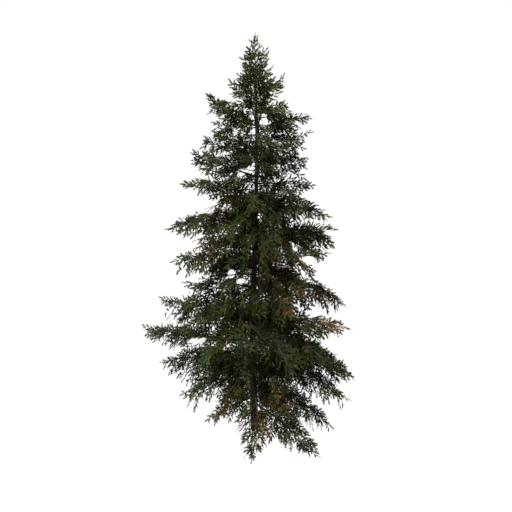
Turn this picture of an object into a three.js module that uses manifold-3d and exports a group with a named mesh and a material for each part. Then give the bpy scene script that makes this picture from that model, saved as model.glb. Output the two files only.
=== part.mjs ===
// A young spruce tree, grown in the open: one tapering trunk with foliage down to the ground.
// Units are millimetres, +Z is up, and the origin is the centre of the flat cut under the trunk.
// Bearings are in degrees about +Z from +X, so 0 is right, 90 back, 180 left and 270 front.
import * as THREE from "three";
import { mergeVertices } from "three/addons/utils/BufferGeometryUtils.js";
import Module from "manifold-3d";

const wasm = await Module();
wasm.setup();

// --- Driving dimensions ---
const TREE_HEIGHT = 8000;
const TRUNK_HEIGHT = 7900; // the wood ends a little under the leader's needles
const TRUNK_FOOT_RADIUS = 86;
const TRUNK_TIP_RADIUS = 5;
const TRUNK_TAPER = 0.86; // power of the taper: under 1 keeps the stem stout to mid height
const TRUNK_SWAY = 40; // the stem wanders this far off plumb, once each way
const TRUNK_BOW = 16; // and this far from front to back
const FLARE = 16; // the root flare stands this proud at the ground
const FLARE_HEIGHT = 260;
const FLARE_LOBES = 5;
const TRUNK_SIDES = 12;
const TRUNK_STEPS = 18;
const TRUNK_CROWDING = 1.25; // power that crowds those steps towards the root flare

const LIMB_SHARE = 0.015; // a limb's radius at the trunk, as a share of its reach
const LIMB_END_SHARE = 0.45; // how much of that radius is left where it enters its foliage
const LIMB_OVERLAP = 0.06; // it is drawn this share of the reach into its foliage, then cut back
const LIMB_SIDES = 6;
const LIMB_STEPS = 4;

const FOLIAGE_WIDTH = 0.36; // half the width of a bough's foliage, as a share of its reach
const FOLIAGE_RISE = 190; // foliage above the limb's line
const FOLIAGE_DEPTH = 270; // and below it
const FOLIAGE_DROOP = 160; // the sides hang this far below the middle
const FOLIAGE_SIDES = 7;
const FOLIAGE_STEPS = 7;
const UNEVEN = 0.2; // how far the surface strays from the smooth shape

const CLEARANCE = 12; // the lowest sprays stop this far above the ground

const LEADER_FOOT = 6750; // the leading shoot's own foliage starts here
const LEADER_RADIUS = 330;
const LEADER_STEPS = 10;
const LEADER_UNEVEN = 0.32;

const GAP = 1; // neighbouring solids stay this far apart
const SLIVER = 0.3; // triangles thinner than this are melted away after a cut
const LAST_PLACE = 1e-3; // points nearer than this are one point

const BARK = { color: 0x3b3226, roughness: 0.95 };
const GREEN = { color: 0x2f3a22, roughness: 0.7 };
const BLUE_GREEN = { color: 0x2f3f33, roughness: 0.7 };
const OLIVE = { color: 0x3d3f1e, roughness: 0.7 };
const BROWN = { color: 0x5a3d22, roughness: 0.85 };

// --- Boughs, from the ground up ---
// leaves: height at which it leaves the trunk. reach and tip: how far out and how high its tip is.
// arch: how far its middle stands over the straight line to the tip. bare: how far out it is bare,
// for a bough whose limb shows. lift: how far its foliage stands above the limb. width: half the
// foliage's width as a share of its reach. deep: its height, as a share of what is usual.
const BOUGHS = [
  { name: "1_front", leaves: 520, bearing: 268, reach: 1260, tip: 130, arch: 60, width: 0.3 },
  { name: "1_right_front", leaves: 640, bearing: 317, reach: 1680, tip: 150, arch: 70, width: 0.3 },
  { name: "1_right", leaves: 880, bearing: 344, reach: 1660, tip: 360, arch: 260 },
  { name: "1_left", leaves: 760, bearing: 198, reach: 1020, tip: 400, arch: 60, width: 0.4, tint: BROWN },
  { name: "1_back", leaves: 760, bearing: 95, reach: 1500, tip: 300, width: 0.62, deep: 1.5 },

  { name: "2_front", leaves: 1300, bearing: 308, reach: 1380, tip: 760, arch: 90 },
  { name: "2_left_front", leaves: 1400, bearing: 232, reach: 1050, tip: 950, tint: OLIVE },
  { name: "2_right_front", leaves: 1650, bearing: 346, reach: 1950, tip: 1030, arch: 170 },
  { name: "2_right", leaves: 1950, bearing: 2, reach: 2130, tip: 1200, arch: 340, bare: 620, deep: 1.3 },
  { name: "2_left_near", leaves: 1700, bearing: 205, reach: 1500, tip: 1150, arch: 130, width: 0.5 },
  { name: "2_left", leaves: 1900, bearing: 187, reach: 1900, tip: 1700, arch: 30,
    bare: 560, deep: 1.2, tint: BLUE_GREEN },
  { name: "2_back", leaves: 1500, bearing: 125, reach: 1750, tip: 1100, width: 0.6, deep: 1.5 },
  { name: "2_back_right", leaves: 1450, bearing: 50, reach: 1800, tip: 1050, arch: 60,
    width: 0.5, deep: 1.3 },

  { name: "3_left", leaves: 2080, bearing: 180, reach: 2320, tip: 2300, arch: -50,
    bare: 700, lift: 90, width: 0.25, deep: 0.8, tint: BLUE_GREEN },
  { name: "3_left_back", leaves: 2700, bearing: 160, reach: 2130, tip: 2740,
    deep: 1.3, tint: BLUE_GREEN },
  { name: "3_left_front", leaves: 2700, bearing: 230, reach: 1550, tip: 2150, arch: 90 },
  { name: "3_front", leaves: 2850, bearing: 264, reach: 1500, tip: 2330, arch: 90, tint: OLIVE },
  { name: "3_front_right", leaves: 2700, bearing: 297, reach: 1700, tip: 2050, arch: 90 },
  { name: "3_right_front", leaves: 2450, bearing: 330, reach: 1850, tip: 1950, arch: 130 },
  { name: "3_right", leaves: 2600, bearing: 350, reach: 1880, tip: 2540, arch: 60,
    bare: 560, width: 0.3, deep: 1.2, tint: BROWN },
  { name: "3_right_back", leaves: 3200, bearing: 20, reach: 2050, tip: 2650, arch: 320, deep: 1.4 },
  { name: "3_back", leaves: 2450, bearing: 75, reach: 1850, tip: 2300, width: 0.62, deep: 1.5 },

  { name: "4_left_low", leaves: 3300, bearing: 160, reach: 1570, tip: 3200, width: 0.3 },
  { name: "4_left", leaves: 3850, bearing: 196, reach: 1570, tip: 3960, arch: 120, bare: 420, deep: 1.2 },
  { name: "4_left_front", leaves: 3250, bearing: 218, reach: 1400, tip: 2950, arch: 40 },
  { name: "4_front_right", leaves: 3520, bearing: 298, reach: 1450, tip: 3180, arch: 70, tint: BROWN },
  { name: "4_right_low", leaves: 3800, bearing: 328, reach: 1200, tip: 3500, arch: 60, width: 0.45 },
  { name: "4_right", leaves: 3950, bearing: 348, reach: 1430, tip: 4080, arch: -20,
    bare: 700, deep: 0.85 },
  { name: "4_right_back", leaves: 4330, bearing: 22, reach: 1880, tip: 4280, arch: 80,
    bare: 420, width: 0.42, deep: 1.3 },
  { name: "4_back", leaves: 3650, bearing: 108, reach: 1600, tip: 3500, width: 0.6, deep: 1.5 },

  { name: "5_left", leaves: 4600, bearing: 172, reach: 1720, tip: 4410, arch: 200, bare: 320, lift: 30 },
  { name: "5_left_front", leaves: 4350, bearing: 213, reach: 1280, tip: 4450, arch: 60,
    deep: 1.4, tint: OLIVE },
  { name: "5_front_right", leaves: 4700, bearing: 285, reach: 1300, tip: 4450, arch: 60,
    deep: 1.2, tint: OLIVE },
  { name: "5_right", leaves: 4850, bearing: 338, reach: 1470, tip: 4880, arch: 140, deep: 1.3 },
  { name: "5_left_high", leaves: 5120, bearing: 198, reach: 1350, tip: 5450, arch: 100, deep: 1.3 },
  { name: "5_right_high", leaves: 5380, bearing: 18, reach: 1180, tip: 5300, arch: 20, deep: 1.3 },
  { name: "5_back", leaves: 4850, bearing: 82, reach: 1400, tip: 4900, width: 0.6, deep: 1.5 },

  { name: "6_left", leaves: 5520, bearing: 160, reach: 1300, tip: 5900, bare: 300, tint: BLUE_GREEN },
  { name: "6_right", leaves: 5750, bearing: 28, reach: 1160, tip: 5770, deep: 1.3 },
  { name: "6_left_high", leaves: 5880, bearing: 212, reach: 830, tip: 6360, deep: 1.8, tint: BLUE_GREEN },
  { name: "6_right_high", leaves: 6080, bearing: 335, reach: 1080, tip: 6370, deep: 1.2 },
  { name: "6_front", leaves: 5950, bearing: 268, reach: 950, tip: 5900, width: 0.5, tint: OLIVE },
  { name: "6_back", leaves: 5800, bearing: 95, reach: 1050, tip: 6000, width: 0.6, deep: 1.5 },

  { name: "7_left", leaves: 6430, bearing: 165, reach: 890, tip: 6980, arch: -60,
    deep: 1.5, tint: BLUE_GREEN },
  { name: "7_right", leaves: 6380, bearing: 15, reach: 1030, tip: 6600, arch: 60, bare: 260, deep: 1.3 },
  { name: "7_low_right", leaves: 6720, bearing: 325, reach: 740, tip: 6840, width: 0.5, deep: 1.2 },
  { name: "7_top_right", leaves: 6950, bearing: 30, reach: 590, tip: 7320, width: 0.6, deep: 1.6 },
  { name: "7_top_left", leaves: 6850, bearing: 205, reach: 440, tip: 7220, width: 0.7, deep: 1.4 },
];

// --- Shapes ---

// A repeatable value from -1 to 1 for each pair of numbers.
function wobble(a, b) {
  const wave = Math.sin(a * 12.9898 + b * 78.233) * 43758.5453;
  return 2 * (wave - Math.floor(wave)) - 1;
}

// Moves every vertex of a closed three.js shape by place(x, y, z) and makes a solid of it.
function reshape(geometry, place) {
  const flat = geometry.clone().deleteAttribute("normal").deleteAttribute("uv");
  const position = flat.getAttribute("position");
  const at = new THREE.Vector3();
  for (let i = 0; i < position.count; i++) {
    at.fromBufferAttribute(position, i);
    at.copy(place(at.x, at.y, at.z));
    position.setXYZ(i, at.x, at.y, at.z);
  }
  const merged = mergeVertices(flat, LAST_PLACE);
  const made = new wasm.Manifold(
    new wasm.Mesh({
      numProp: 3,
      vertProperties: merged.getAttribute("position").array,
      triVerts: new Uint32Array(merged.index.array),
    }),
  );
  if (made.volume() < 0) throw new Error("a shape is inside out");
  return made;
}

// The trunk's centre at a height: a gentle double bend, plumb over its foot at the top.
function trunkCentre(height) {
  const turn = (2 * Math.PI * height) / TREE_HEIGHT;
  return new THREE.Vector3(-TRUNK_SWAY * Math.sin(turn), TRUNK_BOW * Math.sin(turn * 1.5), height);
}

function trunkRadius(height, angle) {
  const left = Math.max(0, 1 - height / TRUNK_HEIGHT);
  const flare = FLARE * Math.pow(Math.max(0, 1 - height / FLARE_HEIGHT), 2);
  const lobes = 0.6 + 0.4 * Math.cos(FLARE_LOBES * angle);
  const stem = (TRUNK_FOOT_RADIUS - TRUNK_TIP_RADIUS) * Math.pow(left, TRUNK_TAPER);
  return TRUNK_TIP_RADIUS + stem + flare * lobes;
}

function trunkSolid(grow = 0) {
  const rod = new THREE.CylinderGeometry(1, 1, 1, TRUNK_SIDES, TRUNK_STEPS);
  return reshape(rod, (x, y, z) => {
    const up = Math.pow(y + 0.5, TRUNK_CROWDING);
    const height = up * TRUNK_HEIGHT;
    const angle = Math.atan2(-z, x);
    const radius = (trunkRadius(height, angle) + grow) * Math.hypot(x, z);
    const end = up < LAST_PLACE ? -grow : grow * up;
    const side = new THREE.Vector3(Math.cos(angle) * radius, Math.sin(angle) * radius, end);
    return trunkCentre(height).add(side);
  });
}

// The line of a bough: share 0 is the trunk's centre and 1 the tip.
function boughPoint(bough, share) {
  const angle = THREE.MathUtils.degToRad(bough.bearing);
  const out = bough.reach * share;
  const height = bough.leaves + (bough.tip - bough.leaves) * share + 4 * bough.arch * share * (1 - share);
  const foot = trunkCentre(bough.leaves).multiplyScalar(1 - share);
  return new THREE.Vector3(foot.x + out * Math.cos(angle), foot.y + out * Math.sin(angle), height);
}

// One tapering limb, from inside the trunk to just inside its foliage.
function limbSolid(bough, grow = 0) {
  const rod = new THREE.CylinderGeometry(1, 1, 1, LIMB_SIDES, LIMB_STEPS);
  const last = bough.bare / bough.reach + LIMB_OVERLAP;
  const thick = bough.reach * LIMB_SHARE;
  const angle = THREE.MathUtils.degToRad(bough.bearing);
  const across = new THREE.Vector3(-Math.sin(angle), Math.cos(angle), 0);
  return reshape(rod, (x, y, z) => {
    const share = last * (y + 0.5);
    const along = boughPoint(bough, share + 0.01).sub(boughPoint(bough, share)).normalize();
    const over = new THREE.Vector3().crossVectors(along, across).negate();
    const radius = thick * (1 - (1 - LIMB_END_SHARE) * (y + 0.5)) + grow;
    return boughPoint(bough, share).addScaledVector(across, -x * radius).addScaledVector(over, -z * radius);
  });
}

// Half the width of the foliage, as a share of its greatest, from its inner end to its tip.
function planOutline(share) {
  return 1.55 * Math.pow(share + 0.08, 0.45) * Math.pow(1 - share, 0.72);
}

// Its height likewise: deepest at the inner end, and thinning all the way to the tip.
function sideOutline(share) {
  return Math.pow(1.04 - share, 0.7) * (1 - Math.exp(-9 * (share + 0.05)));
}

// The foliage of one bough: a thin uneven fan along its line, with hanging sides.
function foliageSolid(bough, grow = 0) {
  const ball = new THREE.SphereGeometry(1, FOLIAGE_SIDES, FOLIAGE_STEPS);
  const first = (bough.bare - grow) / bough.reach;
  const angle = THREE.MathUtils.degToRad(bough.bearing);
  const across = new THREE.Vector3(-Math.sin(angle), Math.cos(angle), 0);
  const halfWidth = bough.reach * bough.width;
  const size = Math.min(1, 0.45 + bough.reach / 2600); // short boughs have thinner foliage
  return reshape(ball, (x, y, z) => {
    const share = Math.acos(THREE.MathUtils.clamp(-y, -1, 1)) / Math.PI;
    const around = Math.atan2(z, x);
    const ring = Math.hypot(x, z) < LAST_PLACE ? 0 : 1;
    const step = Math.round(share * FOLIAGE_STEPS);
    const side = Math.round((around / Math.PI) * FOLIAGE_SIDES);
    const rough = 1 + UNEVEN * wobble(step + bough.leaves, (side + 2 * FOLIAGE_SIDES) % (2 * FOLIAGE_SIDES));
    const outline = planOutline(share);
    const wide = (halfWidth * outline * rough + grow) * Math.cos(around) * ring;
    const body = sideOutline(share) * size * rough;
    const most = Math.sin(around) > 0 ? FOLIAGE_RISE : FOLIAGE_DEPTH;
    const thick = (most * bough.deep * body + grow) * Math.sin(around) * ring;
    const hang = FOLIAGE_DROOP * size * Math.pow(wide / halfWidth, 2);
    const at = boughPoint(bough, first + (1 + grow / bough.reach - first) * share);
    at.addScaledVector(across, -wide);
    at.z += thick - hang + bough.lift;
    at.z = Math.max(at.z, CLEARANCE - grow); // nothing reaches the ground but the trunk
    return at;
  });
}

// The leading shoot's foliage: a slender spindle round the top of the trunk.
function leaderSolid(grow = 0) {
  const ball = new THREE.SphereGeometry(1, FOLIAGE_SIDES, LEADER_STEPS);
  return reshape(ball, (x, y, z) => {
    const share = Math.acos(THREE.MathUtils.clamp(-y, -1, 1)) / Math.PI;
    const height = LEADER_FOOT - grow + (TREE_HEIGHT - LEADER_FOOT + 2 * grow) * share;
    const step = Math.round(share * LEADER_STEPS);
    const rough = 1 + LEADER_UNEVEN * wobble(step, Math.round(x * 9) + Math.round(z * 9) * 3);
    const ring = Math.hypot(x, z);
    const flat = ring < LAST_PLACE ? 0 : 1 / ring;
    const body = LEADER_RADIUS * 1.75 * Math.pow(share + 0.05, 0.5) * Math.pow(1 - share, 0.75);
    const wide = (body * rough + grow) * flat;
    return trunkCentre(Math.min(height, TREE_HEIGHT)).add(new THREE.Vector3(x * wide, -z * wide, 0));
  });
}

// The largest piece of a solid, with the slivers of its cuts melted away.
function largestPiece(solid) {
  const pieces = solid.decompose().sort((a, b) => b.volume() - a.volume());
  return pieces[0].simplify(SLIVER);
}

function meshOf(solid, name, look) {
  const made = solid.getMesh();
  const geometry = new THREE.BufferGeometry();
  geometry.setAttribute("position", new THREE.BufferAttribute(new Float32Array(made.vertProperties), 3));
  geometry.setIndex(new THREE.BufferAttribute(new Uint32Array(made.triVerts), 1));
  geometry.computeVertexNormals();
  const material = new THREE.MeshStandardMaterial({ ...look, metalness: 0, flatShading: true });
  const mesh = new THREE.Mesh(geometry, material);
  mesh.name = name;
  return mesh;
}

// --- The tree ---
const tree = new THREE.Group();
const DEFAULTS = { arch: 0, bare: 0, width: FOLIAGE_WIDTH, deep: 1, lift: 0, tint: GREEN };
const boughs = BOUGHS.map((bough) => ({ ...DEFAULTS, ...bough, limb: "bare" in bough }));

tree.add(meshOf(trunkSolid(), "trunk", BARK));
let taken = trunkSolid(GAP);

for (const bough of boughs.filter((b) => b.limb)) {
  const limb = limbSolid(bough).subtract(taken).subtract(foliageSolid(bough, GAP));
  tree.add(meshOf(largestPiece(limb), `bough_${bough.name}`, BARK));
}
for (const bough of boughs.filter((b) => b.limb)) taken = taken.add(limbSolid(bough, GAP));

const leader = largestPiece(leaderSolid().subtract(taken));
tree.add(meshOf(leader, "foliage_8_leader", GREEN));
taken = taken.add(leaderSolid(GAP));

for (const bough of boughs) {
  const foliage = largestPiece(foliageSolid(bough).subtract(taken));
  tree.add(meshOf(foliage, `foliage_${bough.name}`, bough.tint));
  taken = taken.add(foliageSolid(bough, GAP));
}

export default tree;
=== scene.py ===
"""A young spruce tree: bark on its trunk and boughs, and needle sprays grown by a seeded branching rule.

Metres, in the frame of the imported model: +Z is up and the trunk's foot is at the origin.
"""

import math

import bpy
import numpy as np
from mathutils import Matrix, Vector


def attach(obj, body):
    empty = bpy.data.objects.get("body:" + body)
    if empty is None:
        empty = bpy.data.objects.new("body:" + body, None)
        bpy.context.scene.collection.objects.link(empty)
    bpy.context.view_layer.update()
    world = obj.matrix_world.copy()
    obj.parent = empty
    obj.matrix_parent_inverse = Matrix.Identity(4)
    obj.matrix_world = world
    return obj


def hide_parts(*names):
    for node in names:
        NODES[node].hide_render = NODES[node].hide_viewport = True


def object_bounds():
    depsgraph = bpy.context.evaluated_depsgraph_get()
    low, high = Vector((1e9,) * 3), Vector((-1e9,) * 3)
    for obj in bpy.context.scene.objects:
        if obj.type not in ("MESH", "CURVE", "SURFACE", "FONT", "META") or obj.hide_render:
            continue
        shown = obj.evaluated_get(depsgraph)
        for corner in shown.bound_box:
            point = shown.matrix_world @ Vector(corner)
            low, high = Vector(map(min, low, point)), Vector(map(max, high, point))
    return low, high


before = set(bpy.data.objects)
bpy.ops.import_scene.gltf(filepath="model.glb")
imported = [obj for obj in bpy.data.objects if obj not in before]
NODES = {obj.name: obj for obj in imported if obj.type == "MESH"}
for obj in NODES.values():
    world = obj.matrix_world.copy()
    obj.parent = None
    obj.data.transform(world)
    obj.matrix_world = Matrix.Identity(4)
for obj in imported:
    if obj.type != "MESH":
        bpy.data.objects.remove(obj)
cad_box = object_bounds()

SEED = 20
MM = 0.001
UP = np.array([0.0, 0.0, 1.0])
SIDEWAYS = np.array([1.0, 0.0, 0.0])
LEVEL = np.array([1.0, 1.0, 0.0])  # times a vector, it leaves the level part

# --- The trunk ---
TRUNK_SIDES = 48
TRUNK_RING = 19 * MM
RING_CROWDING = 1.08  # a power: over 1, the rings crowd towards the foot
TRUNK_TIP = 4 * MM  # how far its blunt top stands above the last ring
BARK_SCALE_SIZE = 34 * MM  # a young spruce's bark breaks into scales about this wide
BARK_SCALES_ROUND = 14
BARK_FLAKE_SIZE = 9 * MM
BARK_STAIN_SIZE = 160 * MM
BARK_RELIEF = 3.2 * MM
BARK_SEED = 5
FULL_RELIEF_RADIUS = 60 * MM  # where the trunk is thinner, its bark is smoother
FLARE_RIBS = 5
FLARE_RIB_DEPTH = 9 * MM
FLARE_HEIGHT = 0.12

# --- The boughs ---
LIMB_LINE = 0.59  # how far up a mass of foliage its bough runs, as a share of the mass's height
LIMB_SHARE = 0.0135  # a bough's radius at the trunk, as a share of its reach
LIMB_TAPER = 1.1
BOUGH_TIP_RADIUS = 2.5 * MM
BOUGH_RING = 38 * MM
BOUGH_SIDES = 6
BOUGH_SWELLINGS = 7  # along each bough
BOUGH_RELIEF = 0.8 * MM
FULL_RELIEF_BOUGH = 12 * MM  # where a bough is thinner, it is smoother
WOOD_SHARE = 0.97  # of a bough's length that has wood, because its last shoot hides the rest
COLLAR_SWELL = 0.35  # of a bough's radius, where it leaves the trunk
COLLAR_LENGTH = 50 * MM
SWAY = 0.02  # of a bough's reach, from side to side
SWAY_TURNS = 5  # radians of it along the bough
BARE_FOOT = 30 * MM  # outside the trunk's surface, on a bough whose limb has no solid of its own

# --- The short boughs that close the crown between the main ones ---
INNER_BOUGHS = 102
INNER_LOWEST = 0.75
INNER_HIGHEST = 6.85
INNER_CROWDING = 0.8  # a power: under 1, they crowd towards the top
INNER_TURN = 137.5  # degrees round the trunk, from each to the next
INNER_REACH = (0.4, 0.88)  # of the crown's radius
INNER_SPRAYS = (8, 11)  # on every inner bough, and for each metre of it
INNER_WIDTH = 0.36  # half the width of an inner bough's foliage, as a share of its reach
INNER_RISE, INNER_SAG = 0.16, 0.34  # of its reach: it sets out upwards, and sags to its end
HIGH_FROM, HIGH_CURVE = 5.5, -0.6  # from this height up it curves the other way, and less
INNER_DEPTH = (-0.22, 0.08)  # of its reach, from its lowest sprays to its highest
FRONT_BOUGHS = 12  # extra short ones, which hide the middle of the trunk
FRONT_LOWEST, FRONT_STRETCH = 4.05, 1.25
FRONT_BEARINGS = (-125, -55)  # degrees
FRONT_REACH = (0.4, 0.65)

# --- The sprays ---
SPRAYS_PER_SQUARE_METRE = 57.0  # of the surface of a mass of foliage, at the crown's edge
LEADER_SPRAYS = 160.0  # the same, at the top of the tree
DEEP_SHARE = 0.15  # of that many grow next to the trunk
LEADER_BELOW = 0.1  # the leader's line starts this far under its mass
LEADER_SHORT = 75 * MM  # and ends this far under the mass's top, to leave room for the last shoot
SHALLOW_CHANCE = 0.76  # that a spray ends near its mass's surface, not deep in it
SHALLOW, DEEPER = (0.9, 1.15), (0.4, 0.85)  # shares of the way from the bough to the surface
SPRAY_ANGLE = math.radians(52)  # between a spray and the bough that it grows from
SETBACK = (0.05, 0.5)  # how far back along the bough a spray starts, at least and at most
SPRAY_SHORTEST = 0.07
SPRAY_LONGEST = 1.05
SPRAY_AHEAD = 0.1  # of its length: it leans this far along its bough at first
SPRAY_ARCH, LEADER_ARCH = 0.08, 0.16  # of its length
SPRAY_DROOP = 0.16  # of its length, except near the top, where sprays rise
DROOPS_UNDER, FULL_DROOP_AFTER = 6.3, 1.5  # the height where the droop starts, and how far down it is full
NEAR_GROUND = 1.6  # below this height sprays droop less
SPRAY_SEGMENTS = 3
SPRAY_RADIUS = 3.6 * MM
SPRAY_TIP_RADIUS = 1.6 * MM
SPRAY_BARE = 0.36  # of a spray, from its foot on
BOUGH_BARE = 0.4  # of a bough, from the trunk on; the rest bears shoots of its own

# --- The shoots and needles ---
SHOOT_SPACING = 43 * MM
SHOOT_ANGLE = math.radians(44)
SHOOT_LENGTH = 119 * MM
SHOOT_FIRST, SHOOT_FALL = 1.12, 0.45  # shares of that: at a spray's foot, and how much less at its tip
LAST_SHOOT = 1.25  # the one that ends a spray is this much longer
SHOOT_SAG = 0.04
SHINGLE_SLOPE = 0.12  # a spray that falls more steeply may face outwards, as a shingle
SHOOT_STEM_RADIUS = 2.8 * MM  # the twig with its pegs and needle bases
# (how many on a shoot, length, width): larger than life, so that a few clothe a shoot as 100 do
OUTER_NEEDLES = (13, 38 * MM, 15 * MM)
INNER_NEEDLES = (8, 42 * MM, 20 * MM)  # in the shade round the trunk
NEEDLE_TIP_SHARE = 0.3  # of the width, at the tip
NEEDLE_SHORTENING = 0.25  # of its length, on the last of a shoot
NEEDLE_LEAN = math.radians(46)  # at the shoot's foot; they close up towards its tip
NEEDLE_LEAN_AT_TIP = math.radians(22)
GROUND_CLEARANCE = 8 * MM
LARGEST_PIECE = 195000  # triangles

# --- Where the tree is looked at from, and where its crown is open to that point ---
VIEW_POINT = np.array([0.029, -10.695, 7.205])
VIEW_DOWN = math.radians(17)
# (x, height, half width, half height) of each opening, in the trunk's plane
OPENINGS = [
    (0.77, 6.83, 0.14, 0.11),
    (0.19, 6.58, 0.045, 0.09),
    (-0.38, 6.35, 0.05, 0.06),
    (-0.22, 5.63, 0.09, 0.05),
    (-0.96, 4.94, 0.20, 0.13),
    (0.09, 4.72, 0.05, 0.08),
    (1.55, 4.41, 0.18, 0.07),
    (1.10, 3.85, 0.12, 0.09),
    (-0.47, 3.56, 0.07, 0.10),
    (-0.28, 3.40, 0.11, 0.05),
    (-0.24, 3.20, 0.07, 0.04),
    (1.26, 2.72, 0.19, 0.07),
    (-1.22, 2.08, 0.18, 0.05),
]
# The same, of each stretch where the trunk itself shows
TRUNK_IN_SIGHT = [
    (0.02, 6.34, 0.035, 0.12),
    (0.0, 5.66, 0.05, 0.18),
    (0.0, 3.70, 0.06, 0.20),
    (0.0, 0.72, 0.06, 0.42),
]
TRUNK_FRONT = 0.05  # what stands further back than this hides none of the trunk

# Boughs that are thicker or thinner with sprays than most
FULLNESS = {
    "1_front": 1.8,
    "1_right_front": 1.5,
    "1_left": 1.3,
    "1_right": 1.4,
    "2_right": 1.3,
    "2_right_front": 1.2,
    "5_right_high": 0.8,
    "6_left_high": 1.3,
    "6_right_high": 0.6,
    "6_right": 0.8,
    "7_left": 1.6,
    "7_right": 0.7,
    "7_low_right": 1.4,
    "7_top_right": 0.6,
}

# Boughs with sprays that hang below them, and how far the longest may
HANGING = {
    "1_left": 0.15,
    "1_right": 0.25,
    "2_left": 0.15,
    "2_left_near": 0.1,
    "2_right_front": 0.2,
    "3_left_back": 0.35,
    "3_right_back": 0.2,
    "4_left": 0.2,
    "4_left_low": 0.3,
    "4_right_back": 0.2,
    "5_left_front": 0.2,
    "6_left_high": 0.15,
}
HANGING_CHANCE = 0.5

random = np.random.default_rng(SEED)
CAD_LOW, CAD_HIGH = np.array(cad_box[0]), np.array(cad_box[1])
SHOOT_ROOM = np.array([0.09, 0.055, 0.12])  # how far shoots may reach out of the solids' own box
# Sprays end inside this box, because their shoots stand further out
SPRAY_BOX = (CAD_LOW + np.array([0.03, 0.06, 0.0]), CAD_HIGH - np.array([0.03, 0.06, -0.02]))


# --- Vectors ---
def unit(v):
    return v / np.maximum(np.linalg.norm(v, axis=-1, keepdims=True), 1e-9)


def square_to(direction, hint):
    """A unit vector square to direction, as near to hint as it can be."""
    return unit(hint - np.sum(hint * direction, axis=-1, keepdims=True) * direction)


def two_sides(along):
    """Two unit vectors square to each other and to along."""
    hint = np.where(np.abs(along[..., 2:3]) > 0.9, SIDEWAYS, UP)
    side = square_to(along, hint)
    return side, np.cross(along, side)


def turned(v, axis, angle):
    """v turned about a unit axis by an angle."""
    c, s = np.cos(angle), np.sin(angle)
    return v * c + np.cross(axis, v) * s + axis * np.sum(v * axis, axis=-1, keepdims=True) * (1 - c)


# --- The trunk's line, measured on its solid ---
def mesh_points(node):
    mesh = NODES[node].data
    co = np.zeros(len(mesh.vertices) * 3)
    mesh.vertices.foreach_get("co", co)
    return co.reshape(-1, 3)


def mesh_triangles(node):
    mesh = NODES[node].data
    mesh.calc_loop_triangles()
    tri = np.zeros(len(mesh.loop_triangles) * 3, np.int32)
    mesh.loop_triangles.foreach_get("vertices", tri)
    return tri.reshape(-1, 3)


def trunk_rings():
    """Heights of the solid's rings, with the centre and mean radius of each."""
    points = mesh_points("trunk")
    level = np.round(points[:, 2], 3)
    heights = np.unique(level)
    rings = [points[level == h] for h in heights]
    # A point in the middle of a ring belongs to the trunk's end, not to the ring
    rings = [r[np.linalg.norm(r[:, :2] - r[:, :2].mean(0), axis=1) > 1 * MM] for r in rings]
    centres = np.array([(r.min(0) + r.max(0)) / 2 for r in rings])
    radii = np.array([np.linalg.norm(r[:, :2] - c[:2], axis=1).mean() for r, c in zip(rings, centres)])
    return heights, centres, radii


RING_HEIGHTS, RING_CENTRES, RING_RADII = trunk_rings()
TRUNK_TOP = RING_HEIGHTS[-1]


def trunk_centre(height):
    x = np.interp(height, RING_HEIGHTS, RING_CENTRES[:, 0])
    y = np.interp(height, RING_HEIGHTS, RING_CENTRES[:, 1])
    return np.array([x, y, height])


def trunk_radius(height):
    return np.interp(height, RING_HEIGHTS, RING_RADII)


# --- Meshes ---
def piece(name, verts, faces, material, slot, replaced, smooth):
    """A joined mesh from an array of vertices and an array of faces that all have as many corners."""
    mesh = bpy.data.meshes.new(name)
    corners = faces.shape[1]
    mesh.vertices.add(len(verts))
    mesh.vertices.foreach_set("co", verts.astype(np.float32).ravel())
    mesh.loops.add(faces.size)
    mesh.loops.foreach_set("vertex_index", faces.astype(np.int32).ravel())
    mesh.polygons.add(len(faces))
    mesh.polygons.foreach_set("loop_start", np.arange(0, faces.size, corners, dtype=np.int32))
    mesh.polygons.foreach_set("use_smooth", np.full(len(faces), smooth))
    mesh.update(calc_edges=True)
    mesh.validate()
    obj = bpy.data.objects.new(name, mesh)
    bpy.context.scene.collection.objects.link(obj)
    obj.data.materials.append(material)
    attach(obj, "root")
    if replaced:
        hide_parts(*sorted(replaced))


def spikes(feet, ends, radius):
    """Three-sided spikes, each from a foot to a point."""
    a, b = two_sides(unit(ends - feet))
    turn = np.arange(3) * 2 * np.pi / 3
    ring = feet[:, None] + radius * (a[:, None] * np.cos(turn)[:, None] + b[:, None] * np.sin(turn)[:, None])
    verts = np.concatenate([ring, ends[:, None]], axis=1)
    corners = np.arange(len(feet))[:, None, None] * 4 + np.array([[0, 1, 3], [1, 2, 3], [2, 0, 3]])
    return verts.reshape(-1, 3), corners.reshape(-1, 3)


def tubes(lines, radii, sides):
    """Open-ended tapering tubes along lines (tubes, points, 3); radii is (tubes, points)."""
    count, steps, _ = lines.shape
    a, b = two_sides(unit(np.gradient(lines, axis=1)))
    turn = np.arange(sides) * 2 * np.pi / sides
    ring = a[:, :, None] * np.cos(turn)[:, None] + b[:, :, None] * np.sin(turn)[:, None]
    verts = lines[:, :, None] + ring * radii[:, :, None, None]
    index = np.arange(count * steps * sides).reshape(count, steps, sides)
    here, there = index[:, :-1], index[:, 1:]
    quads = np.stack([here, np.roll(here, -1, 2), np.roll(there, -1, 2), there], axis=-1)
    return verts.reshape(-1, 3), quads.reshape(-1, 4)


def joined(parts):
    """One (verts, faces) pair out of several."""
    verts = [v for v, _ in parts]
    starts = np.cumsum([0] + [len(v) for v in verts[:-1]])
    return np.concatenate(verts), np.concatenate([f + s for (_, f), s in zip(parts, starts)])


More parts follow.
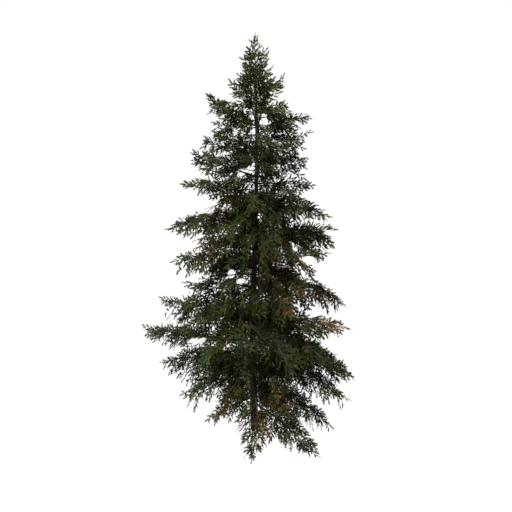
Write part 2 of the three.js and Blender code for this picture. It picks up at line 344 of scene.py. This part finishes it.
# --- Bark relief ---
def smooth_noise(x, y, across, seed):
    """Smooth noise from -1 to 1 on a plane that closes on itself after `across` cells of x."""
    rows = 997  # more cells of y than the longest stem has
    table = np.random.default_rng(seed).uniform(-1, 1, (across, rows))
    xi, yi = np.floor(x).astype(int), np.floor(y).astype(int)
    fx, fy = x - xi, y - yi
    fx, fy = fx * fx * (3 - 2 * fx), fy * fy * (3 - 2 * fy)

    def at(i, j):
        return table[(xi + i) % across, (yi + j) % rows]

    low = at(0, 0) * (1 - fx) + at(1, 0) * fx
    high = at(0, 1) * (1 - fx) + at(1, 1) * fx
    return low * (1 - fy) + high * fy


def scaly(turn, length, girth_cells, cell, seed):
    """Raised scales with grooves between them, mostly from -1 to 1. turn goes from 0 to 1."""
    x, y = turn * girth_cells, length / cell
    broad = smooth_noise(x, y * 0.8, girth_cells, seed)
    fine = smooth_noise(x * 2, y * 1.9, girth_cells * 2, seed + 1)
    return 1 - 2.2 * np.abs(broad) + 0.45 * fine


def trunk_mesh():
    """The trunk with its root flare's ribs and scaly bark, closed at both ends."""
    heights = np.linspace(0, 1, int(TRUNK_TOP / TRUNK_RING)) ** RING_CROWDING * TRUNK_TOP
    turn = np.arange(TRUNK_SIDES) / TRUNK_SIDES
    angle = 2 * np.pi * turn
    centre = np.array([trunk_centre(h) for h in heights])
    radius = trunk_radius(heights)[:, None]
    flare = np.exp(-heights / FLARE_HEIGHT)[:, None] * FLARE_RIB_DEPTH * np.cos(FLARE_RIBS * angle)[None]
    relief = scaly(turn[None], heights[:, None], BARK_SCALES_ROUND, BARK_SCALE_SIZE, BARK_SEED) * BARK_RELIEF
    relief = relief * np.minimum(1, radius / FULL_RELIEF_RADIUS)
    r = radius + flare + relief
    x = centre[:, None, 0] + r * np.cos(angle)
    y = centre[:, None, 1] + r * np.sin(angle)
    z = np.broadcast_to(heights[:, None], r.shape)
    verts = np.stack([x, y, z], axis=-1).reshape(-1, 3)

    index = np.arange(len(verts)).reshape(len(heights), TRUNK_SIDES)
    here, there = index[:-1], index[1:]
    quads = np.stack([here, np.roll(here, -1, 1), np.roll(there, -1, 1), there], axis=-1).reshape(-1, 4)
    foot, top = len(verts), len(verts) + 1
    foot_fan = np.stack([np.roll(index[0], -1), index[0], np.full(TRUNK_SIDES, foot)], 1)
    top_fan = np.stack([index[-1], np.roll(index[-1], -1), np.full(TRUNK_SIDES, top)], 1)
    verts = np.vstack([verts, centre[0], centre[-1] + UP * TRUNK_TIP])
    return verts, np.concatenate([quads[:, [0, 1, 2]], quads[:, [0, 2, 3]], foot_fan, top_fan])


# --- Boughs ---
class Bough:
    """One bough: its line from the trunk's centre to its tip, bare as far as first."""

    def __init__(self, name, line, first, targets, limb=None, leader=False, inner=False):
        self.name, self.line, self.first, self.targets = name, line, first, targets
        self.limb, self.leader, self.inner = limb, leader, inner
        steps = np.linalg.norm(np.diff(line, axis=0), axis=1)
        self.lengths = np.concatenate([[0], np.cumsum(steps)])
        self.reach = self.lengths[-1]

    def at(self, length):
        return np.stack([np.interp(length, self.lengths, self.line[:, k]) for k in range(3)], axis=-1)

    def radius(self, length):
        share = np.clip(length / self.reach, 0, 1)
        thick = LIMB_SHARE * self.reach
        return BOUGH_TIP_RADIUS + (thick - BOUGH_TIP_RADIUS) * (1 - share) ** LIMB_TAPER

    def tube(self):
        """The bough's wood, with its relief and a collar where it leaves the trunk."""
        length = np.arange(0, self.reach * WOOD_SHARE, BOUGH_RING)
        line, radius = self.at(length), self.radius(length)
        relief = scaly(length / self.reach, length, BOUGH_SWELLINGS, BOUGH_RING * 2, len(self.name))
        relief = relief * BOUGH_RELIEF * np.minimum(1, radius / FULL_RELIEF_BOUGH)
        outside = np.maximum(length - trunk_radius(line[0, 2]), 0)
        collar = COLLAR_SWELL * np.exp(-outside / COLLAR_LENGTH)
        radii = radius * (1 + collar) + relief
        return tubes(line[None], radii[None], BOUGH_SIDES)


def mass_tip(mass):
    """The point of a mass that is furthest from the trunk."""
    points = mesh_points(mass)
    return points[np.linalg.norm(points[:, :2], axis=1).argmax()]


MASSES = sorted(n for n in NODES if n.startswith("foliage_"))
TIPS = np.array([mass_tip(m) for m in MASSES if not m.endswith("leader")])
TIP_BELOW, TIP_NEAR = 0.2, 0.35  # tips this far under a height count most for it, and others by nearness


def crown_radius(height):
    """How far the masses' tips reach from the trunk, a little below a height."""
    near = np.exp(-(((TIPS[:, 2] - np.asarray(height)[..., None] + TIP_BELOW) / TIP_NEAR) ** 2)) + 1e-6
    return (np.linalg.norm(TIPS[:, :2], axis=1) * near).sum(-1) / near.sum(-1)


def share_out(points):
    """How far out points are, from 0 at the trunk to 1 at the crown's edge."""
    return np.linalg.norm(points[:, :2], axis=1) / crown_radius(points[:, 2])


def spread_over(mass, per_square_metre):
    """Points spread over a mass's surface, and closer together the further out they are."""
    points, triangles = mesh_points(mass), mesh_triangles(mass)
    a, b, c = (points[triangles[:, k]] for k in range(3))
    area = np.linalg.norm(np.cross(b - a, c - a), axis=1) / 2
    out = share_out((a + b + c) / 3)
    edges = np.cumsum(area * (DEEP_SHARE + (1 - DEEP_SHARE) * np.clip(out, 0, 1)))
    count = int(per_square_metre * edges[-1])
    pick = np.searchsorted(edges, (np.arange(count) + random.random(count)) / count * edges[-1])
    pick = np.minimum(pick, len(area) - 1)
    u, v = random.random(count), random.random(count)
    over = u + v > 1
    u, v = np.where(over, 1 - u, u), np.where(over, 1 - v, v)
    return a[pick] + (b - a)[pick] * u[:, None] + (c - a)[pick] * v[:, None]


def leader_bough(mass):
    """The top of the tree: the trunk's own tip, with sprays all round it."""
    z = mesh_points(mass)[:, 2]
    heights = np.linspace(z.min() - LEADER_BELOW, z.max() - LEADER_SHORT, 24)
    line = np.array([trunk_centre(h) for h in heights])
    return Bough("leader", line, 0.0, spread_over(mass, LEADER_SPRAYS), leader=True)


def bough_in(mass):
    """The bough that carries a mass: a little above its middle, and back along the limb to the trunk."""
    name = mass.replace("foliage_", "")
    limb = "bough_" + name if "bough_" + name in NODES else None
    points = mesh_points(mass)
    out = np.linalg.norm(points[:, :2] - trunk_centre(points[:, 2])[:2].T, axis=1)
    tip = points[out.argmax()]
    foot = trunk_centre(tip[2])
    reach = np.linalg.norm((tip - foot)[:2])
    bearing = unit((tip - foot) * LEVEL)
    across = np.cross(UP, bearing)
    along = (points - foot) @ bearing
    aside = (points - foot) @ across
    first = max(along.min(), 0.0)

    # Its height is known at places in the mass, along the limb and at the tip
    known_s, known_z = list(np.linspace(first, reach, 8)[1:-1]), []
    for s in known_s:
        near = (np.abs(along - s) < reach / 10) & (np.abs(aside) < reach * 0.2)
        z = points[near, 2] if near.any() else points[np.abs(along - s) < reach / 6, 2]
        known_z.append(z.min() + LIMB_LINE * (z.max() - z.min()))
    if limb:
        limb_points = mesh_points(limb)
        limb_s = (limb_points - foot) @ bearing
        limb_line = np.polynomial.Polynomial.fit(limb_s, limb_points[:, 2], 1)
        for share in (0.0, 0.3, 0.6, 0.9):
            s = limb_s.min() + share * (limb_s.max() - limb_s.min())
            known_s.append(s)
            known_z.append(limb_line(s))
    curve = np.polynomial.Polynomial.fit(known_s + [reach], known_z + [tip[2]], 3)

    s = np.linspace(0, reach, 28)
    pull = np.clip((s / reach - 0.8) / 0.2, 0, 1)  # the last fifth bends to the tip
    z = curve(s) * (1 - pull) + (tip[2] + (curve(s) - curve(reach))) * pull
    sway = SWAY * reach * np.sin(s / reach * SWAY_TURNS + len(name))
    share = (s / reach)[:, None]
    line = trunk_centre(z[0]) * (1 - share) + foot * share + bearing * s[:, None]
    line = line + across * sway[:, None] * share
    line[:, 2] = np.maximum(z, 4 * GROUND_CLEARANCE)
    targets = spread_over(mass, SPRAYS_PER_SQUARE_METRE * FULLNESS.get(name, 1.0))
    return Bough(name, line, first if limb else trunk_radius(z[0]) + BARE_FOOT, targets, limb=limb)


def inner_bough(number, height, bearing, reach):
    """A short bough between the main ones; such boughs close the crown round the trunk."""
    way = np.array([math.cos(bearing), math.sin(bearing), 0.0])
    across = np.cross(UP, way)
    s = np.linspace(0, 1, 16)
    rise = reach * (INNER_RISE * s - INNER_SAG * s**2) * (1.0 if height < HIGH_FROM else HIGH_CURVE)
    line = trunk_centre(height) + way * (s * reach)[:, None] + UP * rise[:, None]
    count = int(INNER_SPRAYS[0] + INNER_SPRAYS[1] * reach)
    t = random.uniform(0.05, 1.0, count) ** 0.75
    wide = INNER_WIDTH * reach * np.sin(np.pi * np.minimum(t, 0.98)) ** 0.6
    place = np.stack([np.interp(t, s, line[:, k]) for k in range(3)], axis=-1)
    targets = place + across * (wide * random.uniform(-1, 1, count))[:, None]
    targets = targets + way * 0.06 + UP * (reach * random.uniform(*INNER_DEPTH, count))[:, None]
    return Bough("inner_%d" % number, line, trunk_radius(height) + BARE_FOOT, targets, inner=True)


# --- Sprays: how a bough fills its mass ---
def sight_place(points):
    """Where each point is seen from the viewing point, as (x, z) in the trunk's plane."""
    share = VIEW_POINT[1] / (VIEW_POINT[1] - points[..., 1])
    seen = VIEW_POINT + (points - VIEW_POINT) * share[..., None]
    return seen[..., 0], seen[..., 2]


def in_opening(points):
    """Which points stand in one of the crown's openings."""
    x, z = sight_place(points)
    inside = np.zeros(x.shape, bool)
    for middle_x, middle_z, half_width, half_height in OPENINGS:
        inside |= ((x - middle_x) / half_width) ** 2 + ((z - middle_z) / half_height) ** 2 < 1
    for middle_x, middle_z, half_width, half_height in TRUNK_IN_SIGHT:
        near = (points[..., 1] < TRUNK_FRONT) & (np.abs(x - middle_x) < half_width)
        inside |= near & (np.abs(z - middle_z) < half_height)
    return inside


def sprays_of(bough):
    """Lines (sprays, points, 3) that leave the bough at an angle, arch over and droop to their targets."""
    targets = bough.targets
    count = len(targets)
    sample = np.linspace(bough.first, bough.reach, 60)
    axis = bough.at(sample)
    gap = np.linalg.norm(targets[:, None] - axis[None], axis=2)
    nearest, distance = gap.argmin(1), gap.min(1)
    shallow = random.random(count) < SHALLOW_CHANCE
    depth = np.where(shallow, random.uniform(*SHALLOW, count), random.uniform(*DEEPER, count))
    targets = axis[nearest] + (targets - axis[nearest]) * depth[:, None]
    targets = np.clip(targets, SPRAY_BOX[0], SPRAY_BOX[1])

    back = distance * depth / math.tan(SPRAY_ANGLE) * random.uniform(0.8, 1.2, count) + SETBACK[0]
    start = np.clip(sample[nearest] - np.clip(back, *SETBACK), bough.first, None)
    foot = bough.at(start)
    ahead = unit(bough.at(start + 0.03) - bough.at(start - 0.03))
    reach = targets - foot
    length = np.linalg.norm(reach, axis=1)
    arch = LEADER_ARCH if bough.leader else SPRAY_ARCH
    control = foot + reach * 0.5 + (ahead * SPRAY_AHEAD + UP * arch) * length[:, None]

    droop = SPRAY_DROOP * np.clip((DROOPS_UNDER - targets[:, 2]) / FULL_DROOP_AFTER, -0.4, 1.0)
    droop = droop * random.uniform(0.3, 1.5, count)
    droop = droop * np.clip(targets[:, 2] / NEAR_GROUND, 0.2, 1.0)
    hang = HANGING.get(bough.name, 0.0) * random.random(count) * (random.random(count) < HANGING_CHANCE)
    targets = targets - UP * hang[:, None]
    targets = targets - UP * (droop * length)[:, None]

    t = np.linspace(0, 1, SPRAY_SEGMENTS + 1)[None, :, None]
    lines = (1 - t) ** 2 * foot[:, None] + 2 * t * (1 - t) * control[:, None] + t**2 * targets[:, None]
    lines[..., 2] = np.maximum(lines[..., 2], 5 * GROUND_CLEARANCE)
    keep = (length > SPRAY_SHORTEST) & (length < SPRAY_LONGEST) & ~in_opening(lines[:, 2:]).any(1)
    return lines[keep], length[keep]


def spread_of(line):
    """The level direction that a spray's fan spreads in: across it, or outwards, as a shingle."""
    foot, tip = line[0], line[-1]
    falls = tip[2] < foot[2] - SHINGLE_SLOPE * np.linalg.norm((tip - foot)[:2])
    if falls and random.random() < 0.5:
        return unit(tip * LEVEL)
    return unit(np.cross(UP, tip - foot) + 0.001 * UP)


def shoots_on(lines, lengths, bare_share):
    """Shoots set alternately along each line, in a flat fan, with one at its end."""
    feet, ways, sizes, faces, owners = [], [], [], [], []
    for i, (line, length) in enumerate(zip(lines, lengths)):
        number = max(2, int(length * (1 - bare_share) / SHOOT_SPACING))
        t = np.append(bare_share + (1 - bare_share) * (np.arange(number) + 0.4) / number, 1.0)
        place = t * (len(line) - 1)
        foot = np.stack([np.interp(place, np.arange(len(line)), line[:, k]) for k in range(3)], axis=-1)
        step = np.clip(place.astype(int), 0, len(line) - 2)
        along = unit(line[step + 1] - line[step])
        hang = random.uniform(0.15, 1.25) * random.choice([-1, 1])  # from nearly on edge to nearly flat
        aside = spread_of(line)
        flat = square_to(along, np.sin(hang) * UP + np.cos(hang) * aside + random.normal(0, 0.2, 3))
        side = np.where(np.arange(len(t)) % 2, 1.0, -1.0) * random.choice([-1, 1])
        angle = side * SHOOT_ANGLE * random.uniform(0.85, 1.15, len(t))
        angle[-1] = random.normal(0, 0.12)
        way = turned(along, flat, angle[:, None])
        way = unit(way + flat * random.normal(0, 0.14, (len(t), 1)) - UP * SHOOT_SAG)
        size = SHOOT_LENGTH * (SHOOT_FIRST - SHOOT_FALL * t) * random.uniform(0.75, 1.2, len(t))
        size[-1] *= LAST_SHOOT
        feet.append(foot)
        ways.append(way)
        sizes.append(size)
        faces.append(square_to(way, flat + random.normal(0, 0.2, (len(t), 3))))
        owners.append(np.full(len(t), i))
    return [np.concatenate(v) for v in (feet, ways, sizes, faces, owners)]


def needles_on(feet, ways, sizes, faces, needles):
    """Tapering needles along each shoot, parted to its two sides and leaning forward, as (quads, 4, 3)."""
    n, needle_length, needle_width = needles
    count = len(feet)
    t = (np.arange(n)[None] + random.uniform(0.1, 0.9, (count, n))) / n
    side = np.where(np.arange(n) % 2, 1.0, -1.0)[None, :, None]
    above = np.radians(random.uniform(-25, 60, (count, n, 1)))
    across = np.cross(faces, ways)
    out = side * across[:, None] * np.cos(above) + faces[:, None] * np.sin(above)
    lean = NEEDLE_LEAN + (NEEDLE_LEAN_AT_TIP - NEEDLE_LEAN) * t[..., None]
    lean = lean * random.uniform(0.8, 1.2, (count, n, 1))
    way = unit(ways[:, None] * np.cos(lean) + out * np.sin(lean))
    length = needle_length * (1 - NEEDLE_SHORTENING * t**3) * random.uniform(0.85, 1.1, (count, n))
    base = feet[:, None] + ways[:, None] * (t * sizes[:, None])[..., None]
    wide = unit(np.cross(way, faces[:, None]) + 0.4 * random.normal(0, 1, (count, n, 3)))
    half = square_to(way, wide) * needle_width / 2
    tip, narrow = base + way * length[..., None], half * NEEDLE_TIP_SHARE
    return np.stack([base - half, base + half, tip + narrow, tip - narrow], axis=2).reshape(-1, 4, 3)


# --- Materials ---
def linear(hex_colour):
    """An sRGB hex colour as linear light, with alpha."""
    srgb = [int(hex_colour[i : i + 2], 16) / 255 for i in (0, 2, 4)]
    return [c / 12.92 if c <= 0.04045 else ((c + 0.055) / 1.055) ** 2.4 for c in srgb] + [1.0]


def add_node(tree, kind, settings=None, inputs=None):
    """Adds a node. settings are its own properties; inputs are values, or sockets to link from."""
    node = tree.nodes.new(kind)
    for key, value in (settings or {}).items():
        setattr(node, key, value)
    for key, value in (inputs or {}).items():
        if isinstance(value, bpy.types.NodeSocket):
            tree.links.new(value, node.inputs[key])
        else:
            node.inputs[key].default_value = value
    return node


def new_material(name, roughness, specular):
    material = bpy.data.materials.new(name)
    material.use_nodes = True
    tree = material.node_tree
    tree.nodes.clear()
    values = {"Roughness": roughness, "Specular IOR Level": specular}
    shader = add_node(tree, "ShaderNodeBsdfPrincipled", inputs=values)
    add_node(tree, "ShaderNodeOutputMaterial", inputs={"Surface": shader.outputs["BSDF"]})
    return material, tree, shader


def living_needles(name, colour, roughness):
    """Spruce needles: green flesh under a dull wax, so that they hardly shine. One plain colour a spray."""
    material, _, shader = new_material(name, roughness, 0.03)
    shader.inputs["Base Color"].default_value = linear(colour)
    shader.inputs["IOR"].default_value = 1.45
    return material


def spruce_bark():
    """Spruce bark: thin flaking scales, grey-brown on their faces and darker in the grooves; dry and dull."""
    material, tree, shader = new_material("spruce_bark", 0.92, 0.25)
    place = add_node(tree, "ShaderNodeTexCoord").outputs["Object"]
    stretched = add_node(tree, "ShaderNodeMapping", inputs={"Vector": place, "Scale": (1, 1, 0.6)}).outputs[0]
    scales = {"Vector": stretched, "Scale": 1 / BARK_SCALE_SIZE}
    cells = add_node(tree, "ShaderNodeTexVoronoi", {"feature": "DISTANCE_TO_EDGE"}, scales)
    fine = {"Vector": place, "Scale": 1 / BARK_FLAKE_SIZE, "Detail": 4}
    flakes = add_node(tree, "ShaderNodeTexNoise", inputs=fine)
    broad = {"Vector": place, "Scale": 1 / BARK_STAIN_SIZE, "Detail": 3}
    stains = add_node(tree, "ShaderNodeTexNoise", inputs=broad)
    edges = {"Value": cells.outputs["Distance"], "From Min": 0.0, "From Max": 0.22}
    groove = add_node(tree, "ShaderNodeMapRange", inputs=edges).outputs["Result"]

    # A mix node's inputs 6 and 7 are its two colours, and its output 2 is their mixture
    stained = {"Factor": stains.outputs["Fac"], 6: linear("1e1a12"), 7: linear("2b2519")}
    face = add_node(tree, "ShaderNodeMix", {"data_type": "RGBA"}, stained).outputs[2]
    grooved = {"Factor": groove, 6: linear("130e0a"), 7: face}
    skin = add_node(tree, "ShaderNodeMix", {"data_type": "RGBA"}, grooved).outputs[2]
    tree.links.new(skin, shader.inputs["Base Color"])

    flaked = {0: flakes.outputs["Fac"], 1: 0.5, 2: groove}
    height = add_node(tree, "ShaderNodeMath", {"operation": "MULTIPLY_ADD"}, flaked).outputs[0]
    bump = add_node(tree, "ShaderNodeBump", inputs={"Height": height, "Distance": 2 * MM, "Strength": 0.7})
    tree.links.new(bump.outputs["Normal"], shader.inputs["Normal"])
    return material


def twig_bark():
    """First and second year twigs: smooth, ridged and dark brown, dull."""
    material, _, shader = new_material("twig_bark", 0.8, 0.3)
    shader.inputs["Base Color"].default_value = linear("221d12")
    return material


# Each tint's slot, colour and roughness
TINTS = {
    "green": ("needles_green", "20280e", 0.6),
    # The dark tint is a darker green found among the others, and is also dealt out near the trunk and low
    # down as painted shade
    "dark": ("needles_dark", "121507", 0.6),
    "olive": ("needles_olive", "26250c", 0.6),
    # The blue-green and fresh tints are real colours of spruce needles, and are also dealt out on the top and
    # the upper left as painted light
    "blue_green": ("needles_blue_green", "283224", 0.55),
    "fresh": ("needles_fresh", "333d1a", 0.55),
    "brown": ("needles_brown", "3d3018", 0.75),
    "rust": ("needles_brown", "2a200f", 0.75),
}
TINT_NAMES = list(TINTS)
# Above this height the tints paint the light from above, besides the fresh growth
TOP_FROM = 6.75
DEEP = 0.6  # nearer the trunk than this share of the crown's radius, a spray is in the shade
# Above this height, and further left at the crown's edge, the tints paint the key light, besides the needles'
# wax
COOL_FROM = 5.2
COOL_SIDE, COOL_EDGE = -0.35, 0.7  # lower down, sprays are cool further left than this, at the crown's edge
# Below this height the tint chances paint shade
LOW_BELOW = 3.1

# How often a spray gets each tint, by where it is: partly the tints that grow there, partly painted shade
# near the trunk and low down, and painted light on the top and the upper left
# Painted light: the top gets the fresh tint most, partly for its new growth and partly for the light from
# above
TOP_FRESH_AND_LIT_TINTS = {"green": 0.44, "olive": 0.12, "fresh": 0.44}
# Painted shade: sprays near the trunk get the dark tint most
INNER_SHADE_TINTS = {"green": 0.26, "dark": 0.5, "olive": 0.22, "rust": 0.02}
# Painted light: sprays high up and on the left at the crown's edge get the blue-green tint most, partly for
# the needles' wax and partly for the key light that falls there
COOL_AND_LIT_TINTS = {"green": 0.37, "dark": 0.13, "olive": 0.14, "blue_green": 0.32, "fresh": 0.04}
# Painted shade: low sprays get the dark tint most
LOW_SHADE_TINTS = {"green": 0.24, "dark": 0.55, "olive": 0.18, "blue_green": 0.02, "fresh": 0.01}
DYING = {"brown": 0.005, "rust": 0.005}
OUTER = {"green": 0.35, "dark": 0.33, "olive": 0.25, "blue_green": 0.04, "fresh": 0.01, **DYING}

# Where sprays are dying: (x, height, radius) in the trunk's plane, and the share of them that is brown
BROWNED = [
    (-0.75, 4.93, 0.32, 0.65),
    (-1.05, 3.91, 0.36, 0.60),
    (0.55, 3.91, 0.36, 0.40),
    (1.03, 3.70, 0.24, 0.60),
    (0.74, 2.97, 0.34, 0.70),
    (1.65, 2.58, 0.34, 0.85),
    (-0.82, 0.40, 0.34, 0.85),
    (0.12, -0.10, 0.32, 0.50),
    (0.55, 0.58, 0.30, 0.55),
]
BROWNED_BACK = 0.5  # sprays further back than this stay green
BROWN_SHARE, RUST_SHARE = 0.6, 0.4  # of the dying ones


def tint_of(target, share):
    """The tint of a spray from its place and how far out it is, from 0 at the trunk to 1 at the edge."""
    if target[2] > TOP_FROM:
        chances = dict(TOP_FRESH_AND_LIT_TINTS)
    elif share < DEEP:
        chances = dict(INNER_SHADE_TINTS)
    elif target[0] < COOL_SIDE and share > COOL_EDGE or target[2] > COOL_FROM:
        chances = dict(COOL_AND_LIT_TINTS)
    elif target[2] < LOW_BELOW:
        chances = dict(LOW_SHADE_TINTS)
    else:
        chances = dict(OUTER)
    x, z = sight_place(target)
    for middle_x, middle_z, radius, brown in BROWNED:
        if target[1] < BROWNED_BACK and math.hypot(x - middle_x, z - middle_z) < radius:
            chances = {k: v * (1 - brown) for k, v in chances.items()}
            chances.update(brown=brown * BROWN_SHARE, rust=brown * RUST_SHARE)
    weights = np.array([chances.get(k, 0.0) for k in TINT_NAMES])
    return random.choice(len(TINT_NAMES), p=weights / weights.sum())


# --- Growing the tree ---
def grown_boughs():
    """Every bough: the one in each mass, and the short ones between them and at the front."""
    boughs = [leader_bough(m) if m.endswith("leader") else bough_in(m) for m in MASSES]
    for k in range(INNER_BOUGHS):
        share = (k + random.uniform(0.2, 0.8)) / INNER_BOUGHS
        height = INNER_LOWEST + (INNER_HIGHEST - INNER_LOWEST) * share**INNER_CROWDING
        reach = crown_radius(height) * random.uniform(*INNER_REACH)
        boughs.append(inner_bough(k, height, math.radians(INNER_TURN * k), reach))
    for k in range(FRONT_BOUGHS):
        height = FRONT_LOWEST + FRONT_STRETCH * (k + random.uniform(0.2, 0.8)) / FRONT_BOUGHS
        bearing = math.radians(random.uniform(*FRONT_BEARINGS))
        reach = crown_radius(height) * random.uniform(*FRONT_REACH)
        boughs.append(inner_bough(INNER_BOUGHS + k, height, bearing, reach))
    return boughs


def grown_sprays(boughs):
    """The lines of all the sprays, and their shoots: feet, ways, sizes, faces, tints and which are shaded."""
    spray_lines, shoots = [], []
    for bough in boughs:
        lines, lengths = sprays_of(bough)
        spray_lines.append(lines)
        out = share_out(lines[:, -1])
        tints = np.array([tint_of(line[-1], o) for line, o in zip(lines, out)])
        if len(lines):
            *shoot, owner = shoots_on(lines, lengths, SPRAY_BARE)
            shoots.append((*shoot, tints[owner], bough.inner & (out[owner] < DEEP)))
        own = bough.line[None, int(len(bough.line) * BOUGH_BARE) :]
        *shoot, owner = shoots_on(own, [bough.reach * (1 - BOUGH_BARE)], 0.0)
        tint = tint_of(bough.line[-1], 1.0)
        shoots.append((*shoot, np.full(len(owner), tint), np.full(len(owner), bough.inner)))
    return np.concatenate(spray_lines), [np.concatenate(column) for column in zip(*shoots)]


def pruned(shoots):
    """The shoots outside the openings and not too far out; those near the ground turn up from it."""
    feet, ways, sizes = shoots[:3]
    ends = feet + ways * sizes[:, None]
    inside = ((ends > CAD_LOW - SHOOT_ROOM) & (ends < CAD_HIGH + SHOOT_ROOM)).all(1)
    keep = inside & ~in_opening(ends) & ~in_opening(feet)
    feet, ways, sizes, *others = (column[keep] for column in shoots)
    low = feet[:, 2] + ways[:, 2] * sizes < 4 * GROUND_CLEARANCE
    ways[low, 2] = np.abs(ways[low, 2]) * 0.3
    return feet, unit(ways), sizes, *others


def bark_pieces(boughs):
    bark = spruce_bark()
    piece("trunk_bark", *trunk_mesh(), bark, "bark", ["trunk"], True)
    limbs = [b.limb for b in boughs if b.limb]
    wood = joined([b.tube() for b in boughs if not b.leader])
    piece("bough_bark", *wood, bark, "bark", limbs, True)


def twig_pieces(lines, feet, ways, sizes):
    twig = twig_bark()
    taper = np.linspace(SPRAY_RADIUS, SPRAY_TIP_RADIUS, lines.shape[1])[None] * np.ones((len(lines), 1))
    piece("twigs", *tubes(lines, taper, 3), twig, "twig", [], False)
    stems = spikes(feet, feet + ways * sizes[:, None], SHOOT_STEM_RADIUS)
    piece("shoot_stems", *stems, twig, "twig", [], False)


def needle_pieces(feet, ways, sizes, faces, tints, shaded):
    """The needles of each tint, in as few pieces as stay under the largest."""
    for number, (tint, (slot, colour, roughness)) in enumerate(TINTS.items()):
        quads = []
        for needles, where in ((OUTER_NEEDLES, ~shaded), (INNER_NEEDLES, shaded)):
            chosen = (tints == number) & where
            quads.append(needles_on(feet[chosen], ways[chosen], sizes[chosen], faces[chosen], needles))
        verts = np.concatenate(quads).reshape(-1, 3)
        verts[:, 2] = np.maximum(verts[:, 2], GROUND_CLEARANCE / 2)
        corners = np.arange(len(verts)).reshape(-1, 4)
        material = living_needles("spruce_needles_" + tint, colour, roughness)
        parts = math.ceil(len(corners) * 2 / LARGEST_PIECE)
        for k, share in enumerate(np.array_split(corners, parts)):
            name = "needles_" + tint + ("" if parts == 1 else "_%d" % (k + 1))
            first, last = share[0, 0], share[-1, -1]
            piece(name, verts[first : last + 1], share - first, material, slot, MASSES, False)


boughs = grown_boughs()
spray_lines, shoots = grown_sprays(boughs)
feet, ways, sizes, faces, tints, shaded = pruned(shoots)
bark_pieces(boughs)
twig_pieces(spray_lines, feet, ways, sizes)
needle_pieces(feet, ways, sizes, faces, tints, shaded)

# --- Floor, light and camera ---
WHITE = (1, 1, 1, 1)
GLOW = 1.0  # of the floor and of the air, so that no edge shows between them
FLOOR_CORNER = 200.0
SUN_STRENGTH = 12.0
SUN_WIDTH = math.radians(10)
SUN_TILT, SUN_TURN = math.radians(35), math.radians(-30)  # it stands high on the left in front
LENS, SENSOR = 39.41, 36  # millimetres

floor_material, _, shader = new_material("studio_floor", 0.9, 0.0)
shader.inputs["Base Color"].default_value = linear("202020")
shader.inputs["Emission Color"].default_value = WHITE
shader.inputs["Emission Strength"].default_value = GLOW
corners = [(x * FLOOR_CORNER, y * FLOOR_CORNER, 0) for x, y in ((-1, -1), (1, -1), (1, 1), (-1, 1))]
mesh = bpy.data.meshes.new("floor")
mesh.from_pydata(corners, [], [(0, 1, 2, 3)])
floor = bpy.data.objects.new("floor", mesh)
bpy.context.scene.collection.objects.link(floor)
floor.data.materials.append(floor_material)

world = bpy.data.worlds.new("studio")
bpy.context.scene.world = world
world.use_nodes = True
world.node_tree.nodes["Background"].inputs["Color"].default_value = WHITE
world.node_tree.nodes["Background"].inputs["Strength"].default_value = GLOW

sun = bpy.data.objects.new("key", bpy.data.lights.new("key", "SUN"))
sun.data.energy = SUN_STRENGTH
sun.data.angle = SUN_WIDTH
sun.rotation_euler = (SUN_TILT, 0, SUN_TURN)
bpy.context.scene.collection.objects.link(sun)

camera = bpy.data.objects.new("camera", bpy.data.cameras.new("camera"))
camera.data.lens = LENS
camera.data.sensor_width = SENSOR
camera.location = VIEW_POINT
camera.rotation_euler = (math.pi / 2 - VIEW_DOWN, 0, 0)
bpy.context.scene.collection.objects.link(camera)
bpy.context.scene.camera = camera
bpy.context.scene.view_settings.view_transform = "Standard"
